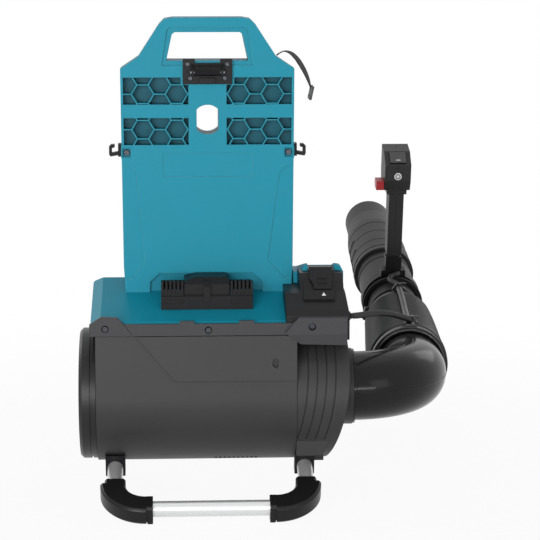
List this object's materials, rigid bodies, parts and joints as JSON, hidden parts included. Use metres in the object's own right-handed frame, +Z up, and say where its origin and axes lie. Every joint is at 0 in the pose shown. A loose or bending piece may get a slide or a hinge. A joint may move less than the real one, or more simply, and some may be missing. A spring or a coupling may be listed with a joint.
{
  "type": "backpack leaf blower",
  "caption": "Backpack blower: honeycomb carrying frame with harness, round fan case on a tube stand, elbow, ribbed hose, telescopic blow pipe and a trigger handle",
  "frame": {"origin": "on the floor, midway between the frame sides, under the fan axis", "axes": "+Z up, +Y towards the wearer and along the blow pipe, +X to the outlet side"},
  "size_m": [0.5536, 0.9978, 0.687],
  "materials": {
    "teal_plastic": "fine satin moulding",
    "black_plastic": "satin moulding",
    "dark_grey_plastic": "fine grained moulding",
    "socket_plastic": "satin",
    "trim_grey": "satin",
    "steel": "blackened",
    "motor_windings": "lacquered copper",
    "circuit_board": "satin",
    "aluminium_tube": "brushed, anodised",
    "hose_rubber": "satin",
    "cable_rubber": "matt",
    "red_plastic": "satin",
    "white_plastic": "satin",
    "display_glass": "gloss",
    "pad_fabric": "woven cover",
    "webbing": "webbing"
  },
  "bodies": {
    "pack": {"back_frame": "teal_plastic", "front_cover": "teal_plastic", "latch_bracket": "black_plastic", "latch_pin": "steel", "latch_spring": "steel", "pack_hook": "black_plastic", "frame_screws": "steel", "strap_hook_left": "black_plastic", "strap_hook_right": "black_plastic", "upper_case": "teal_plastic", "trim_strip": "trim_grey", "case_screws": "steel", "fan_case_rear": "dark_grey_plastic", "fan_case_front": "dark_grey_plastic", "intake_ring": "black_plastic", "intake_grille": "black_plastic", "fan_duct": "dark_grey_plastic", "motor_stator": "motor_windings", "shaft_bearings": "steel", "outlet_housing": "dark_grey_plastic", "controller_box": "circuit_board", "socket_tower": "black_plastic", "power_socket": "socket_plastic", "stand_tube": "aluminium_tube", "stand_corner_left": "black_plastic", "stand_corner_right": "black_plastic", "stand_brackets": "black_plastic", "front_foot_left": "black_plastic", "front_foot_right": "black_plastic", "elbow_pipe": "black_plastic", "hose_band_rear": "black_plastic", "hose_rear": "hose_rubber", "hose_front": "hose_rubber", "cable_case": "cable_rubber", "cable_rear": "cable_rubber", "cable_front": "cable_rubber", "cable_handle": "cable_rubber", "cable_fittings": "cable_rubber", "back_pad": "pad_fabric", "hip_pad": "pad_fabric", "shoulder_straps": "pad_fabric", "strap_tail": "webbing"},
    "rotor": {"motor_rotor": "steel", "fan_wheel": "black_plastic", "fan_nut": "steel"},
    "latch": {"latch_lever": "black_plastic"},
    "socket_flap": {"socket_cap": "black_plastic"},
    "hose_middle": {"hose_ring": "black_plastic"},
    "inner_tube": {"inner_pipe": "black_plastic", "hose_band_front": "black_plastic"},
    "swivel_tube": {"swivel_pipe": "dark_grey_plastic", "handle_clamp": "black_plastic", "handle_left": "black_plastic", "handle_right": "black_plastic", "display_window": "display_glass", "trigger_spring": "steel"},
    "nozzle": {"nozzle_pipe": "dark_grey_plastic"},
    "trigger_lever": {"trigger": "black_plastic"},
    "cruise": {"cruise_lever": "red_plastic"},
    "power_key": {"power_button": "white_plastic"}
  },
  "joints": [
    {"name": "fan_spin", "type": "hinge", "parent": "pack", "child": "rotor", "pos_m": [0, 0, 0.15], "axis": [1, 0, 0], "continuous": true},
    {"name": "latch_press", "type": "hinge", "parent": "pack", "child": "latch", "pos_m": [0, 0.003, 0.6105], "axis": [1, 0, 0], "range_deg": [0, 20], "stiffness_Nm_per_rad": 0.3, "deforming": ["latch_spring"]},
    {"name": "socket_flap_open", "type": "hinge", "parent": "pack", "child": "socket_flap", "pos_m": [0.1585, -0.02605, 0.33404], "axis": [-1, 0, 0], "range_deg": [0, 110]},
    {"name": "hose_pitch", "type": "hinge", "parent": "pack", "child": "hose_middle", "pos_m": [0.30782, 0.20114, 0.15798], "axis": [1, 0, 0], "range_deg": [-16, 22], "deforming": ["hose_rear", "cable_rear"]},
    {"name": "hose_yaw", "type": "hinge", "parent": "hose_middle", "child": "inner_tube", "pos_m": [0.31161, 0.29986, 0.17207], "axis": [0, 0, 1], "range_deg": [-20, 20], "deforming": ["hose_front", "cable_front"]},
    {"name": "pipe_swivel", "type": "hinge", "parent": "inner_tube", "child": "swivel_tube", "pos_m": [0.31115, 0.45799, 0.20394], "axis": [-0.0086, 0.9799, 0.1994], "range_deg": [-40, 40], "deforming": ["cable_handle"]},
    {"name": "nozzle_slide", "type": "slide", "parent": "swivel_tube", "child": "nozzle", "axis": [-0.0086, 0.9799, 0.1994], "range_m": [0, 0.09]},
    {"name": "trigger_pull", "type": "hinge", "parent": "swivel_tube", "child": "trigger_lever", "pos_m": [0.31155, 0.41147, 0.39245], "axis": [-1, -0.0087, 0], "range_deg": [0, 14], "stiffness_Nm_per_rad": 0.6, "springref_deg": -5.73, "deforming": ["trigger_spring"]},
    {"name": "cruise_turn", "type": "hinge", "parent": "swivel_tube", "child": "cruise", "pos_m": [0.28473, 0.39041, 0.40454], "axis": [1, 0.0087, 0], "range_deg": [0, 70]},
    {"name": "power_press", "type": "slide", "parent": "swivel_tube", "child": "power_key", "axis": [-0.0086, 0.9799, 0.1994], "range_m": [0, 0.0015], "stiffness_N_per_m": 400}
  ]
}
